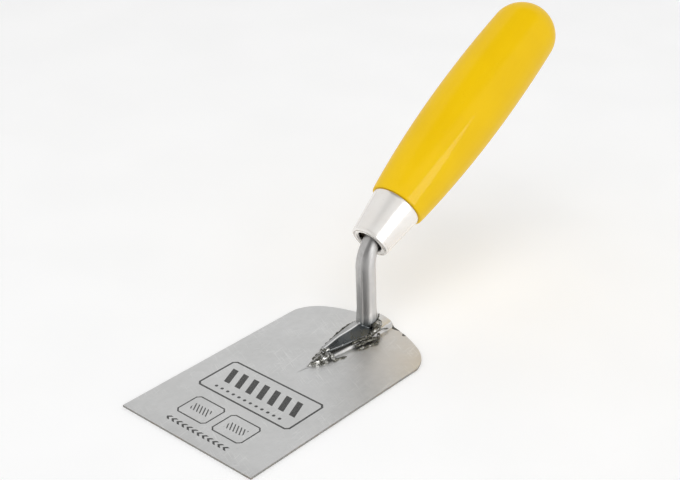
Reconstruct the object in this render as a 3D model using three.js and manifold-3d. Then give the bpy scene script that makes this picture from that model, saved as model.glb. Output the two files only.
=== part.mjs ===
// Small plasterer's trowel: sheet-steel blade with a pressed rib, forged cranked tang welded to the
// rib, conical ferrule and turned handle. Millimetres. +Z is up, +Y runs from the blade's front edge
// towards the handle. The origin is on the blade's underside, in the middle of its flat part.

import * as THREE from 'three';
import { mergeVertices } from 'three/addons/utils/BufferGeometryUtils.js';
import Module from 'manifold-3d';

const wasm = await Module();
wasm.setup();

// Blade
const BLADE_WIDTH = 80;
const BLADE_LENGTH = 132.4;
const BLADE_THICKNESS = 1;
const FLAT_LENGTH = 70;
const SIDE_SPLAY = 0.0001;
const HEEL_RADIUS = 59.6;
const HEEL_SKEW = 0.028;
const CORNER_RADIUS = 21.1;
const CORNER_KINK = THREE.MathUtils.degToRad(13);
const FRONT_Y = -FLAT_LENGTH / 2;
const RIB_START_Y = FLAT_LENGTH / 2;
const HEEL_Y = FRONT_Y + BLADE_LENGTH;

// Rib pressed into the blade, from nothing at its start to full height at the heel
const RIB_HEIGHT = 3.4;
const RIB_HALF_WIDTH = 10;
const RIB_CROWN_FALL = 0.6;
const RIB_WALL_TOP = 0.64;
const RIB_WALL_FOOT = 0.86;
const FLARE_HEIGHT = 0.3;
const FLARE_REACH = 1.8;

// Handle axis: it lies in the plane x = 0 and starts at the middle of the ferrule's mouth
const MOUTH_Y = 86.9;
const MOUTH_Z = 48.65;
const HANDLE_TILT = THREE.MathUtils.degToRad(31.2);

// Ferrule
const FERRULE_LENGTH = 23.1;
const FERRULE_MOUTH_RADIUS = 9.9;
const FERRULE_REAR_RADIUS = 12.75;
const FERRULE_WALL = 0.8;
const FERRULE_HOLE_RADIUS = 6.6;
const FERRULE_EDGE_ROUND = 0.9;

// Handle, measured along its axis from the ferrule's mouth
const GAP = 0.3;
const HANDLE_END = 155.7;
const HANDLE_DOME = 15.4;
const HANDLE_SHOULDER_RADIUS = 13.9;
const HANDLE_SWELL = [15.25, -14.02, 1.82];
const SHOULDER_ROUND = 0.7;
const TENON_FACE = 3;
const BORE_MOUTH_RADIUS = 5.8;
const BORE_STRAIGHT_FROM = 9;

// Tang: neck, bend and spike are one rod
const NECK_BASE = new THREE.Vector3(0, 85.95, 5.8);
const NECK_LEAN = 0.0492;
const NECK_RADIUS = 4.7;
const NECK_FLARE_RADIUS = 5.3;
const NECK_FLARE_HEIGHT = 9;
const BEND_RADIUS = 18;
const SPIKE_RADIUS = 4.2;
const SPIKE_TIP_RADIUS = 1.6;
const SPIKE_DEPTH = 46;
const FLASH_HEIGHT = 0.45;
const FLASH_HALF_ANGLE = 0.4;
const FLASH_TURN = Math.PI / 12;

// Foot of the tang, a ridged spearhead that sits astride the rib
const FOOT_TIP_Y = 52.4;
const FOOT_WIDE_Y = 82.7;
const FOOT_BACK_Y = 90.9;
const FOOT_HALF_WIDTH = 7;
const FOOT_TIP_HALF_WIDTH = 1.3;
const FOOT_BACK_HALF_WIDTH = 4.2;
const FOOT_SIDE_TIP_Z = 4.5;
const FOOT_SIDE_BACK_Z = 3.9;
const FOOT_RIDGE_TIP_Z = 5;
const FOOT_RIDGE_MIDDLE_Z = 6.8;
const FOOT_RIDGE_BACK_Z = 7.6;

const ROUND_SEGMENTS = 40;
const ROD_SEGMENTS = 24;
const BEAD_SEGMENTS = 9;

const lerp = THREE.MathUtils.lerp;
const smoothstep = THREE.MathUtils.smoothstep;
const clamp = THREE.MathUtils.clamp;

// ---------------------------------------------------------------- solids

// A closed geometry from points and triangles, turned so that its faces point outwards.
function closedGeometry(points, triangles) {
  const volume = triangles.reduce((sum, [a, b, c]) => {
    return sum + points[a].dot(points[b].clone().cross(points[c]));
  }, 0);
  const faces = volume > 0 ? triangles : triangles.map(([a, b, c]) => [a, c, b]);
  const geometry = new THREE.BufferGeometry().setFromPoints(points);
  geometry.setIndex(faces.flat());
  return geometry;
}

// A solid skinned over rings of equally many points, closed by a fan at each end.
function loft(rings) {
  const count = rings[0].length;
  const points = rings.flat();
  const triangles = [];
  for (let ring = 0; ring + 1 < rings.length; ring += 1) {
    for (let i = 0; i < count; i += 1) {
      const next = (i + 1) % count;
      const a = ring * count + i;
      const b = ring * count + next;
      triangles.push([a, b, a + count]);
      triangles.push([b, b + count, a + count]);
    }
  }
  const ends = [0, rings.length - 1];
  for (const end of ends) {
    const middle = new THREE.Vector3();
    rings[end].forEach((point) => middle.add(point));
    const hub = points.push(middle.divideScalar(count)) - 1;
    for (let i = 0; i < count; i += 1) {
      const pair = [end * count + i, end * count + ((i + 1) % count)];
      triangles.push(end === 0 ? [hub, pair[1], pair[0]] : [hub, pair[0], pair[1]]);
    }
  }
  return closedGeometry(points, triangles);
}

function toManifold(geometry) {
  const bare = geometry.clone();
  bare.deleteAttribute('normal');
  bare.deleteAttribute('uv');
  const merged = mergeVertices(bare, 1e-4);
  const vertProperties = new Float32Array(merged.attributes.position.array);
  const triVerts = new Uint32Array(merged.index.array);
  return new wasm.Manifold(new wasm.Mesh({ numProp: 3, vertProperties, triVerts }));
}

function toGeometry(manifold) {
  const mesh = manifold.getMesh();
  const geometry = new THREE.BufferGeometry();
  geometry.setAttribute('position', new THREE.BufferAttribute(mesh.vertProperties, 3));
  geometry.setIndex(new THREE.BufferAttribute(mesh.triVerts, 1));
  return geometry;
}

function largestPiece(manifold) {
  const pieces = manifold.decompose();
  return pieces.reduce((best, piece) => (piece.volume() > best.volume() ? piece : best));
}

// ---------------------------------------------------------------- blade

// Distance of the blade's rear outline along Y: one shallow heel arc running into two corner arcs,
// which meet the straight sides at a slight kink. The whole outline is cut a little askew.
function heelY(x) {
  const cornerX = BLADE_WIDTH / 2 - CORNER_RADIUS * Math.cos(CORNER_KINK);
  const between = HEEL_RADIUS - CORNER_RADIUS;
  const heelCentreY = HEEL_Y - HEEL_RADIUS;
  const cornerCentreY = heelCentreY + Math.sqrt(between ** 2 - cornerX ** 2);
  const away = Math.abs(x);
  if (away < (HEEL_RADIUS * cornerX) / between) {
    return heelCentreY + Math.sqrt(HEEL_RADIUS ** 2 - away ** 2) - HEEL_SKEW * x;
  }
  return cornerCentreY + Math.sqrt(CORNER_RADIUS ** 2 - (away - cornerX) ** 2) - HEEL_SKEW * x;
}

function ribAlong(y) {
  return clamp((y - RIB_START_Y) / (HEEL_Y - RIB_START_Y), 0, 1);
}

function ribHalfWidth(along) {
  return RIB_HALF_WIDTH * (1 - (1 - along) ** 1.9);
}

// Height of the pressed sheet above the flat.
function ribZ(x, y) {
  const along = ribAlong(y);
  if (along === 0) {
    return 0;
  }
  const across = Math.abs(x) / ribHalfWidth(along);
  const crown = 1 - RIB_CROWN_FALL * across ** 2;
  const wall = 1 - smoothstep(across, RIB_WALL_TOP, RIB_WALL_FOOT);
  const flare = 1 - smoothstep(across, RIB_WALL_TOP, FLARE_REACH);
  return RIB_HEIGHT * along ** 1.1 * crown * wall + FLARE_HEIGHT * along * flare;
}

// The sheet as a grid of columns that fan out with the rib, raised by extra on its upper side.
function bladeGeometry(extra = 0) {
  const ribColumns = [0, 0.3, 0.52, RIB_WALL_TOP, 0.7, 0.75, 0.8, RIB_WALL_FOOT, 1.15, FLARE_REACH];
  const outerColumns = [0.3, 0.55, 0.7, 0.82, 0.9, 0.96, 1];
  const ribRows = 12;
  const rows = [];
  for (let row = -1; row <= ribRows; row += 1) {
    const v = Math.max(row, 0) / ribRows;
    const halfWidth = row < 0 ? RIB_HALF_WIDTH : Math.max(ribHalfWidth(v), 1);
    const inner = ribColumns.map((u) => u * halfWidth);
    const outer = outerColumns.map((u) => lerp(FLARE_REACH * halfWidth, BLADE_WIDTH / 2, u));
    const right = inner.concat(outer);
    const left = right.slice(1).reverse().map((x) => -x);
    rows.push(left.concat(right).map((x) => {
      const y = row < 0 ? FRONT_Y : lerp(RIB_START_Y, heelY(x), v);
      const splay = 1 + SIDE_SPLAY * (y - FRONT_Y);
      return new THREE.Vector3(x * splay, y, ribZ(x, y));
    }));
  }
  const columns = rows[0].length;
  const lower = rows.flat();
  const upper = lower.map((p) => new THREE.Vector3(p.x, p.y, p.z + BLADE_THICKNESS + extra));
  const triangles = [];
  for (let row = 0; row + 1 < rows.length; row += 1) {
    for (let column = 0; column + 1 < columns; column += 1) {
      const a = row * columns + column;
      const b = a + columns;
      triangles.push([a, b, a + 1], [a + 1, b, b + 1]);
      const [c, d] = [a + lower.length, b + lower.length];
      triangles.push([c, c + 1, d], [c + 1, d + 1, d]);
    }
  }
  const last = rows.length - 1;
  const rim = [];
  for (let column = 0; column < columns; column += 1) {
    rim.push(column);
  }
  for (let row = 1; row <= last; row += 1) {
    rim.push(row * columns + columns - 1);
  }
  for (let column = columns - 2; column >= 0; column -= 1) {
    rim.push(last * columns + column);
  }
  for (let row = last - 1; row > 0; row -= 1) {
    rim.push(row * columns);
  }
  rim.forEach((a, index) => {
    const b = rim[(index + 1) % rim.length];
    triangles.push([a, b, a + lower.length], [b, b + lower.length, a + lower.length]);
  });
  return closedGeometry(lower.concat(upper), triangles);
}

// ---------------------------------------------------------------- tang

const AXIS = new THREE.Vector3(0, Math.cos(HANDLE_TILT), Math.sin(HANDLE_TILT));
const MOUTH = new THREE.Vector3(0, MOUTH_Y, MOUTH_Z);

// Where the leaning neck line meets the handle axis.
function neckCorner() {
  const run = AXIS.y / AXIS.z;
  const base = NECK_BASE;
  const z = (base.y + NECK_LEAN * base.z - MOUTH.y + run * MOUTH.z) / (run + NECK_LEAN);
  return new THREE.Vector3(0, base.y - NECK_LEAN * (z - base.z), z);
}

// Points, with their distance along the rod, of the neck, the round bend and the spike.
function rodPath() {
  const corner = neckCorner();
  const up = corner.clone().sub(NECK_BASE).normalize();
  const turn = up.angleTo(AXIS);
  const setback = BEND_RADIUS * Math.tan(turn / 2);
  const bendStart = corner.clone().addScaledVector(up, -setback);
  const bendEnd = corner.clone().addScaledVector(AXIS, setback);
  const inward = AXIS.clone().addScaledVector(up, -AXIS.dot(up)).normalize();
  const centre = bendStart.clone().addScaledVector(inward, BEND_RADIUS);
  const path = [];
  for (const u of [0, 0.1, 0.2, 0.32, 0.66]) {
    path.push(NECK_BASE.clone().lerp(bendStart, u));
  }
  const bendSteps = 8;
  for (let step = 0; step <= bendSteps; step += 1) {
    const angle = (turn * step) / bendSteps;
    const point = centre.clone().addScaledVector(inward, -BEND_RADIUS * Math.cos(angle));
    path.push(point.addScaledVector(up, BEND_RADIUS * Math.sin(angle)));
  }
  const spikeEnd = MOUTH.clone().addScaledVector(AXIS, SPIKE_DEPTH);
  for (const u of [0.5, 0.97, 1]) {
    path.push(bendEnd.clone().lerp(spikeEnd, u));
  }
  return { path, bendStart, bendEnd };
}

// Radius of the spike at a distance along the handle axis from the ferrule's mouth.
function spikeRadius(s, from) {
  const u = clamp((s - from) / (SPIKE_DEPTH - from), 0, 1);
  return lerp(SPIKE_RADIUS, SPIKE_TIP_RADIUS, u);
}

function rodGeometry(extra) {
  const { path, bendStart, bendEnd } = rodPath();
  const straightFrom = bendEnd.clone().sub(MOUTH).dot(AXIS);
  const rings = path.map((point, index) => {
    const before = path[Math.max(index - 1, 0)];
    const after = path[Math.min(index + 1, path.length - 1)];
    const along = after.clone().sub(before).normalize();
    const front = new THREE.Vector3(1, 0, 0).cross(along);
    const s = point.clone().sub(MOUTH).dot(AXIS);
    const height = point.z - NECK_BASE.z;
    const flare = 1 - smoothstep(height, 0, NECK_FLARE_HEIGHT);
    const neck = lerp(NECK_RADIUS, NECK_FLARE_RADIUS, flare);
    const slimming = smoothstep(point.z, bendStart.z, bendEnd.z);
    let radius = lerp(neck, spikeRadius(s, straightFrom), slimming);
    if (index === path.length - 1) {
      radius *= 0.5;
    }
    const flash = FLASH_HEIGHT * (1 - smoothstep(s, -10, 0));
    const ring = [];
    for (let i = 0; i < ROD_SEGMENTS; i += 1) {
      const angle = (2 * Math.PI * i) / ROD_SEGMENTS;
      const turned = Math.abs(angle - FLASH_TURN);
      const fromRidge = Math.min(turned, 2 * Math.PI - turned);
      const bump = flash * (1 - smoothstep(fromRidge, 0, FLASH_HALF_ANGLE));
      const r = radius + bump + extra;
      const ringPoint = point.clone().addScaledVector(front, r * Math.cos(angle));
      ring.push(ringPoint.add(new THREE.Vector3(r * Math.sin(angle), 0, 0)));
    }
    return ring;
  });
  return loft(rings);
}

function footGeometry(extra) {
  const stations = [0, 0.1, 0.25, 0.45, 0.65, 0.82, 1, 1.12, 1.2, 1.28];
  const length = FOOT_WIDE_Y - FOOT_TIP_Y;
  const rings = stations.map((u) => {
    const y = FOOT_TIP_Y + u * length;
    const pastWide = clamp((y - FOOT_WIDE_Y) / (FOOT_BACK_Y - FOOT_WIDE_Y), 0, 1);
    const growing = lerp(FOOT_TIP_HALF_WIDTH, FOOT_HALF_WIDTH, Math.min(u, 1) ** 0.8);
    const closing = lerp(1, FOOT_BACK_HALF_WIDTH / FOOT_HALF_WIDTH, pastWide ** 2);
    const half = growing * closing + extra;
    const side = lerp(FOOT_SIDE_TIP_Z, FOOT_SIDE_BACK_Z, Math.min(u, 1)) + extra;
    const rise = smoothstep(u, 0, 0.5);
    const ridgeBase = lerp(FOOT_RIDGE_TIP_Z, FOOT_RIDGE_MIDDLE_Z, rise);
    const ridge = lerp(ridgeBase, FOOT_RIDGE_BACK_Z, smoothstep(u, 0.6, 1.2)) + extra;
    const sole = [-1, -0.9, -0.8, -0.6, -0.3, 0, 0.3, 0.6, 0.8, 0.9, 1].map((across) => {
      const z = ribZ(across * half, y) + BLADE_THICKNESS + GAP - extra;
      return new THREE.Vector3(across * half, y, z);
    });
    return sole.concat([
      new THREE.Vector3(half, y, side),
      new THREE.Vector3(0, y, ridge),
      new THREE.Vector3(-half, y, side),
    ]);
  });
  return loft(rings);
}

function tangManifold(extra = 0) {
  return toManifold(rodGeometry(extra)).add(toManifold(footGeometry(extra)));
}

// ---------------------------------------------------------------- ferrule and handle

// Profiles are (radius, distance along the axis) pairs turned about the local Y axis.
function ferruleRadius(s) {
  return lerp(FERRULE_MOUTH_RADIUS, FERRULE_REAR_RADIUS, s / FERRULE_LENGTH);
}

function ferruleGeometry() {
  const profile = [new THREE.Vector2(FERRULE_HOLE_RADIUS, 0.2)];
  const steps = 5;
  for (let step = 0; step <= steps; step += 1) {
    const angle = (Math.PI / 2) * (step / steps);
    const edge = ferruleRadius(FERRULE_EDGE_ROUND) - FERRULE_EDGE_ROUND;
    const r = edge + FERRULE_EDGE_ROUND * Math.sin(angle);
    profile.push(new THREE.Vector2(r, FERRULE_EDGE_ROUND * (1 - Math.cos(angle))));
  }
  const lipBack = FERRULE_EDGE_ROUND + 0.1;
  profile.push(new THREE.Vector2(FERRULE_REAR_RADIUS, FERRULE_LENGTH));
  profile.push(new THREE.Vector2(FERRULE_REAR_RADIUS - FERRULE_WALL, FERRULE_LENGTH));
  profile.push(new THREE.Vector2(ferruleRadius(lipBack) - FERRULE_WALL, lipBack));
  profile.push(new THREE.Vector2(FERRULE_HOLE_RADIUS, lipBack));
  profile.push(profile[0].clone());
  return new THREE.LatheGeometry(profile, ROUND_SEGMENTS);
}

// Outer radius of the handle behind its shoulder; a dome closes the end.
function handleRadius(s) {
  const bodyEnd = HANDLE_END - HANDLE_DOME;
  const u = (s - FERRULE_LENGTH) / (bodyEnd - FERRULE_LENGTH);
  const [a, b, c] = HANDLE_SWELL;
  const body = HANDLE_SHOULDER_RADIUS + a * u + b * u ** 2 + c * u ** 3;
  const dome = Math.max(s - bodyEnd, 0) / HANDLE_DOME;
  return body * Math.sqrt(Math.max(1 - dome ** 2, 0));
}

function handleGeometry(straightFrom) {
  const shoulder = FERRULE_LENGTH + GAP;
  const tenonFaceRadius = ferruleRadius(TENON_FACE) - FERRULE_WALL - GAP;
  const tenonRootRadius = ferruleRadius(shoulder) - FERRULE_WALL - GAP;
  const boreEnd = SPIKE_DEPTH + 2 * GAP;
  const profile = [
    new THREE.Vector2(0, boreEnd),
    new THREE.Vector2(SPIKE_TIP_RADIUS + GAP, boreEnd),
    new THREE.Vector2(spikeRadius(BORE_STRAIGHT_FROM, straightFrom) + GAP, BORE_STRAIGHT_FROM),
    new THREE.Vector2(BORE_MOUTH_RADIUS, TENON_FACE),
    new THREE.Vector2(tenonFaceRadius, TENON_FACE),
    new THREE.Vector2(tenonRootRadius, shoulder),
    new THREE.Vector2(handleRadius(shoulder) - SHOULDER_ROUND, shoulder),
  ];
  const bodySteps = 11;
  const bodyStart = shoulder + SHOULDER_ROUND;
  const bodyEnd = HANDLE_END - HANDLE_DOME;
  for (let step = 0; step <= bodySteps; step += 1) {
    const s = lerp(bodyStart, bodyEnd, step / bodySteps);
    profile.push(new THREE.Vector2(handleRadius(s), s));
  }
  const domeSteps = 6;
  for (let step = 1; step <= domeSteps; step += 1) {
    const angle = (Math.PI / 2) * (step / domeSteps);
    const s = bodyEnd + HANDLE_DOME * Math.sin(angle);
    profile.push(new THREE.Vector2(step < domeSteps ? handleRadius(s) : 0, s));
  }
  return new THREE.LatheGeometry(profile, ROUND_SEGMENTS);
}

// ---------------------------------------------------------------- welds

// A rippled bead along a smooth curve; stops are [x, y, z, radius].
function bead(stops, ripples) {
  const curve = new THREE.CatmullRomCurve3(stops.map(([x, y, z]) => new THREE.Vector3(x, y, z)));
  const steps = 3 * ripples;
  const frames = curve.computeFrenetFrames(steps, false);
  const rings = [];
  for (let step = 0; step <= steps; step += 1) {
    const u = step / steps;
    const place = u * (stops.length - 1);
    const before = Math.min(Math.floor(place), stops.length - 2);
    const size = lerp(stops[before][3], stops[before + 1][3], place - before);
    const ripple = 0.86 + 0.14 * Math.abs(Math.sin(Math.PI * ripples * u));
    const taper = Math.sqrt(Math.max(1 - (2 * u - 1) ** 8, 0.08));
    const centre = curve.getPoint(u);
    const ring = [];
    for (let i = 0; i < BEAD_SEGMENTS; i += 1) {
      const angle = (2 * Math.PI * i) / BEAD_SEGMENTS;
      const point = centre.clone();
      point.addScaledVector(frames.normals[step], size * ripple * taper * Math.cos(angle));
      point.addScaledVector(frames.binormals[step], size * ripple * taper * Math.sin(angle));
      ring.push(point);
    }
    rings.push(ring);
  }
  return toManifold(loft(rings));
}

const WELDS = {
  weld_tip: {
    ripples: 4,
    stops: [[0.2, 40.5, 0.9, 0.8], [0.4, 45.5, 1.7, 2.2], [0.7, 50.4, 2.7, 2.8], [1.1, 54.4, 3, 3.2]],
  },
  weld_right_front: {
    ripples: 4,
    stops: [[2.8, 55.8, 3.1, 1], [4.3, 55.6, 2.1, 1.1], [5.7, 57.2, 1.3, 1], [7.2, 61.8, 1, 0.8]],
  },
  weld_right_rear: {
    ripples: 4,
    stops: [[8.1, 70, 1.7, 1.8], [9.5, 75.5, 1.8, 2.4], [10.2, 81, 2.2, 2.6]],
  },
  weld_left: {
    ripples: 8,
    stops: [[-4.1, 57.4, 2.4, 0.9], [-6.4, 70.5, 2.4, 1.1], [-7.8, 80.6, 2.7, 1.2]],
  },
  weld_heel: {
    ripples: 7,
    stops: [
      [7.6, 81.6, 4.2, 1.8],
      [7.5, 85.5, 4.8, 2.1],
      [5.6, 89.6, 5.2, 2],
      [0.2, 92.2, 5.2, 1.7],
      [-5.2, 89.8, 4.7, 1.5],
      [-7.2, 84.8, 4.2, 1.3],
    ],
  },
};

// ---------------------------------------------------------------- scene graph

function material(color, roughness, metalness) {
  return new THREE.MeshStandardMaterial({ color, roughness, metalness });
}

const bladeSteel = material(0xc3c3c0, 0.38, 1);
const forgedSteel = material(0x8e9190, 0.42, 1);
const weldSteel = material(0x6f6e66, 0.4, 1);
const nickel = material(0xdedad2, 0.14, 1);
const lacquer = material(0xecc40c, 0.18, 0);

function named(name, geometry, look) {
  const mesh = new THREE.Mesh(geometry, look);
  mesh.name = name;
  return mesh;
}

const trowel = new THREE.Group();
trowel.add(named('blade', bladeGeometry(), bladeSteel));
trowel.add(named('tang', toGeometry(tangManifold()), forgedSteel));

const bladeRoom = toManifold(bladeGeometry(GAP));
const tangRoom = tangManifold(GAP);
for (const [name, { stops, ripples }] of Object.entries(WELDS)) {
  const solid = bead(stops, ripples).subtract(bladeRoom).subtract(tangRoom);
  trowel.add(named(name, toGeometry(largestPiece(solid)), weldSteel));
}

const grip = new THREE.Group();
grip.position.copy(MOUTH);
grip.rotation.x = HANDLE_TILT;
const straightFrom = rodPath().bendEnd.clone().sub(MOUTH).dot(AXIS);
grip.add(named('ferrule', ferruleGeometry(), nickel));
grip.add(named('handle', handleGeometry(straightFrom), lacquer));
trowel.add(grip);

export default trowel;
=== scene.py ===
"""Looks of a small plasterer's trowel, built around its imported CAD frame.

Shapes are worked out in millimetres and scaled to metres when a mesh is made. The frame is the CAD's own:
+Z up, +Y from the blade's front edge towards the handle, origin on the underside of the blade's flat part.
"""

import math
import random

import bpy
import numpy as np
from mathutils import Matrix, Vector, noise


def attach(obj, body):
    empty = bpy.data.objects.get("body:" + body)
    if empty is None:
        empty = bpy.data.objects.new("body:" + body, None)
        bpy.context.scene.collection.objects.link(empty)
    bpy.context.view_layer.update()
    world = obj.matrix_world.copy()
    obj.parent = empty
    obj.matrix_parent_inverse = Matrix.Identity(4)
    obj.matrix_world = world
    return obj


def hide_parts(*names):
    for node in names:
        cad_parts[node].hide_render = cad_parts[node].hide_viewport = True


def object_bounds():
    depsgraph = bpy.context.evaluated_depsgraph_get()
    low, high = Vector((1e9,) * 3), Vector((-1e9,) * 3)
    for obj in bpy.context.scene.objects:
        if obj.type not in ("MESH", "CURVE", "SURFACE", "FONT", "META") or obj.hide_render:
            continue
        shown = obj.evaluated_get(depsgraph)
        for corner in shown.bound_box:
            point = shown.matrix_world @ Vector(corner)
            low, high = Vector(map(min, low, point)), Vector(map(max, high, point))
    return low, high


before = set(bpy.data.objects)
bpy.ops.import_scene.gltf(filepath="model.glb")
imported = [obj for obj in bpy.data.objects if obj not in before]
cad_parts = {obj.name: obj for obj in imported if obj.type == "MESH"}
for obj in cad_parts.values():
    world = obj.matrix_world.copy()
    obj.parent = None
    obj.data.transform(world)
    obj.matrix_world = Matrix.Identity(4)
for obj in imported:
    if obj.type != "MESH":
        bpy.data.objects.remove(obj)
cad_low, cad_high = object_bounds()

MM = 0.001
BODY = "root"

# ------------------------------------------------------------------------------------ driving sizes, mm

BLADE_WIDTH = 80
BLADE_LENGTH = 132.4
BLADE_THICKNESS = 1
FLAT_LENGTH = 70
FRONT_Y = -FLAT_LENGTH / 2
RIB_START_Y = FLAT_LENGTH / 2
HEEL_Y = FRONT_Y + BLADE_LENGTH
HEEL_RADIUS = 59.6
HEEL_SKEW = 0.028
CORNER_RADIUS = 21.1
CORNER_KINK = math.radians(13)
EDGE_BEVEL = 0.14

RIB_HEIGHT = 3.4
RIB_HALF_WIDTH = 10
RIB_CROWN_FALL = 0.6
RIB_WALL_TOP = 0.64
RIB_WALL_FOOT = 0.86
FLARE_HEIGHT = 0.3
FLARE_REACH = 1.8

MOUTH = Vector((0, 86.9, 48.65))
HANDLE_TILT = math.radians(31.2)
ACROSS = Vector((1, 0, 0))
AXIS = Vector((0, math.cos(HANDLE_TILT), math.sin(HANDLE_TILT)))

FERRULE_LENGTH = 23.1
FERRULE_MOUTH_RADIUS = 9.9
FERRULE_REAR_RADIUS = 12.75
FERRULE_WALL = 0.8
FERRULE_HOLE_RADIUS = 6.5
FERRULE_EDGE_ROUND = 0.9

GAP = 0.3
HANDLE_END = 155.7
HANDLE_DOME = 15.4
HANDLE_BODY_END = HANDLE_END - HANDLE_DOME
HANDLE_SHOULDER_RADIUS = 13.9
HANDLE_SWELL = (15.25, -14.02, 1.82)
SHOULDER_ROUND = 0.7
TENON_FACE = 3
BORE_RADIUS = 5.8
BORE_DEPTH = 47

NECK_BASE = Vector((0, 85.95, 5.8))
NECK_LEAN = 0.0492
NECK_RADIUS = 4.7
NECK_FLARE_RADIUS = 5.3
NECK_FLARE_HEIGHT = 9
BEND_RADIUS = 18
SPIKE_RADIUS = 4.2
SPIKE_TIP_RADIUS = 1.6
SPIKE_DEPTH = 46
FLASH_HEIGHT = 0.45
FLASH_HALF_ANGLE = 0.3
FLASH_TURN = math.radians(15)

FOOT_TIP_Y = 52.4
FOOT_WIDE_Y = 82.7
FOOT_BACK_Y = 90.9
FOOT_HALF_WIDTH = 7
FOOT_TIP_HALF_WIDTH = 1.3
FOOT_BACK_HALF_WIDTH = 4.2
FOOT_SIDE_TIP_Z = 4.5
FOOT_SIDE_BACK_Z = 3.9
FOOT_RIDGE_TIP_Z = 5
FOOT_RIDGE_MIDDLE_Z = 6.8
FOOT_RIDGE_BACK_Z = 7.6


def lerp(a, b, t):
    return a + (b - a) * t


def clamp(value, low=0.0, high=1.0):
    return max(low, min(high, value))


def smoothstep(value, low, high):
    t = clamp((value - low) / (high - low))
    return t * t * (3 - 2 * t)


# ------------------------------------------------------------------------------------ mesh helpers


def make_piece(name, points, faces, sharp_angle=40):
    """A mesh object from points in millimetres, smooth except across edges over sharp_angle degrees."""
    mesh = bpy.data.meshes.new(name)
    mesh.from_pydata([tuple(np.asarray(p, float) * MM) for p in points], [], faces)
    piece = bpy.data.objects.new(name, mesh)
    bpy.context.scene.collection.objects.link(piece)
    shade(piece, sharp_angle)
    return piece


def shade(piece, sharp_angle):
    piece.data.shade_smooth()
    piece.data.set_sharp_from_angle(angle=math.radians(sharp_angle))


def apply_modifiers(piece):
    graph = bpy.context.evaluated_depsgraph_get()
    mesh = bpy.data.meshes.new_from_object(piece.evaluated_get(graph))
    piece.modifiers.clear()
    old = piece.data
    piece.data = mesh
    bpy.data.meshes.remove(old)
    mesh.name = piece.name


def soften(piece, times):
    smooth = piece.modifiers.new("soften", "SMOOTH")
    smooth.factor = 0.5
    smooth.iterations = times
    apply_modifiers(piece)


def fuse(piece, voxel, smoothing):
    """Melts a mesh of overlapping closed parts into one skin and softens its edges."""
    remesh = piece.modifiers.new("fuse", "REMESH")
    remesh.mode = "VOXEL"
    remesh.voxel_size = voxel * MM
    remesh.use_smooth_shade = True
    soften(piece, smoothing)


# The most that a plate rises over the crease round it, as a share of its height.
PLATE_TOP = 0.55


def roughen(piece, *layers, plates=None):
    """Moves each vertex along its normal by layers of noise, each given as (size of a lump, height), in mm.
    Plates, given the same way, are angular lumps with sharp creases between them."""
    mesh = piece.data
    places = np.empty(len(mesh.vertices) * 3)
    normals = np.empty_like(places)
    mesh.vertices.foreach_get("co", places)
    mesh.vertex_normals.foreach_get("vector", normals)
    for place, normal in zip(places.reshape(-1, 3), normals.reshape(-1, 3)):
        spot = Vector(place) / MM
        rise = sum(noise.noise(spot / lump) * height for lump, height in layers)
        if plates:
            nearest, second = noise.voronoi(spot / plates[0])[0][:2]
            rise += plates[1] * (min(second - nearest, PLATE_TOP) - PLATE_TOP / 2)
        place += normal * (MM * rise)
    mesh.vertices.foreach_set("co", places)
    mesh.update()


def loft(rings):
    """Points and faces of a tube through rings of equally many points, with a fan at each end."""
    count = len(rings[0])
    points = [p for ring in rings for p in ring]
    faces = []
    for ring in range(len(rings) - 1):
        for i in range(count):
            a, b = ring * count + i, ring * count + (i + 1) % count
            faces.append((a, b, b + count, a + count))
    for end in (0, len(rings) - 1):
        hub = len(points)
        points.append(sum((Vector(p) for p in rings[end]), Vector()) / count)
        for i in range(count):
            a, b = end * count + i, end * count + (i + 1) % count
            faces.append((hub, b, a) if end == 0 else (hub, a, b))
    return points, faces


def lathe(profile, segments=144):
    """Points and faces of a closed profile of (radius, distance from the mouth) pairs turned about AXIS.
    A profile that starts on the axis is closed by a fan at both ends, and any other one is a ring."""
    outward = ACROSS.cross(AXIS)
    solid = profile[0][0] == 0
    turned = profile[1:-1] if solid else profile
    points = []
    for radius, s in turned:
        for i in range(segments):
            angle = 2 * math.pi * i / segments
            spoke = ACROSS * math.sin(angle) + outward * math.cos(angle)
            points.append(MOUTH + AXIS * s + spoke * radius)
    faces = []
    rows = len(turned)
    for row in range(rows - 1 if solid else rows):
        for i in range(segments):
            j = (i + 1) % segments
            k = (row + 1) % rows
            faces.append(
                (row * segments + i, k * segments + i, k * segments + j, row * segments + j)
            )
    if solid:
        for row, (_, s) in ((0, profile[0]), (rows - 1, profile[-1])):
            hub = len(points)
            points.append(MOUTH + AXIS * s)
            for i in range(segments):
                a, b = row * segments + i, row * segments + (i + 1) % segments
                faces.append((hub, a, b) if row == 0 else (hub, b, a))
    return points, faces


def face_outwards(piece):
    """Turns a closed mesh inside out if its faces point inwards."""
    mesh = piece.data
    mesh.calc_loop_triangles()
    volume = 0
    for triangle in mesh.loop_triangles:
        a, b, c = (mesh.vertices[i].co for i in triangle.vertices)
        volume += a.dot(b.cross(c))
    if volume < 0:
        mesh.flip_normals()


# ------------------------------------------------------------------------------------ node helpers


def socket_name(key):
    """A Principled socket's name from a keyword, such as Specular IOR Level from specular_ior_level."""
    return key.replace("_", " ").title().replace("Ior", "IOR")


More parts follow.
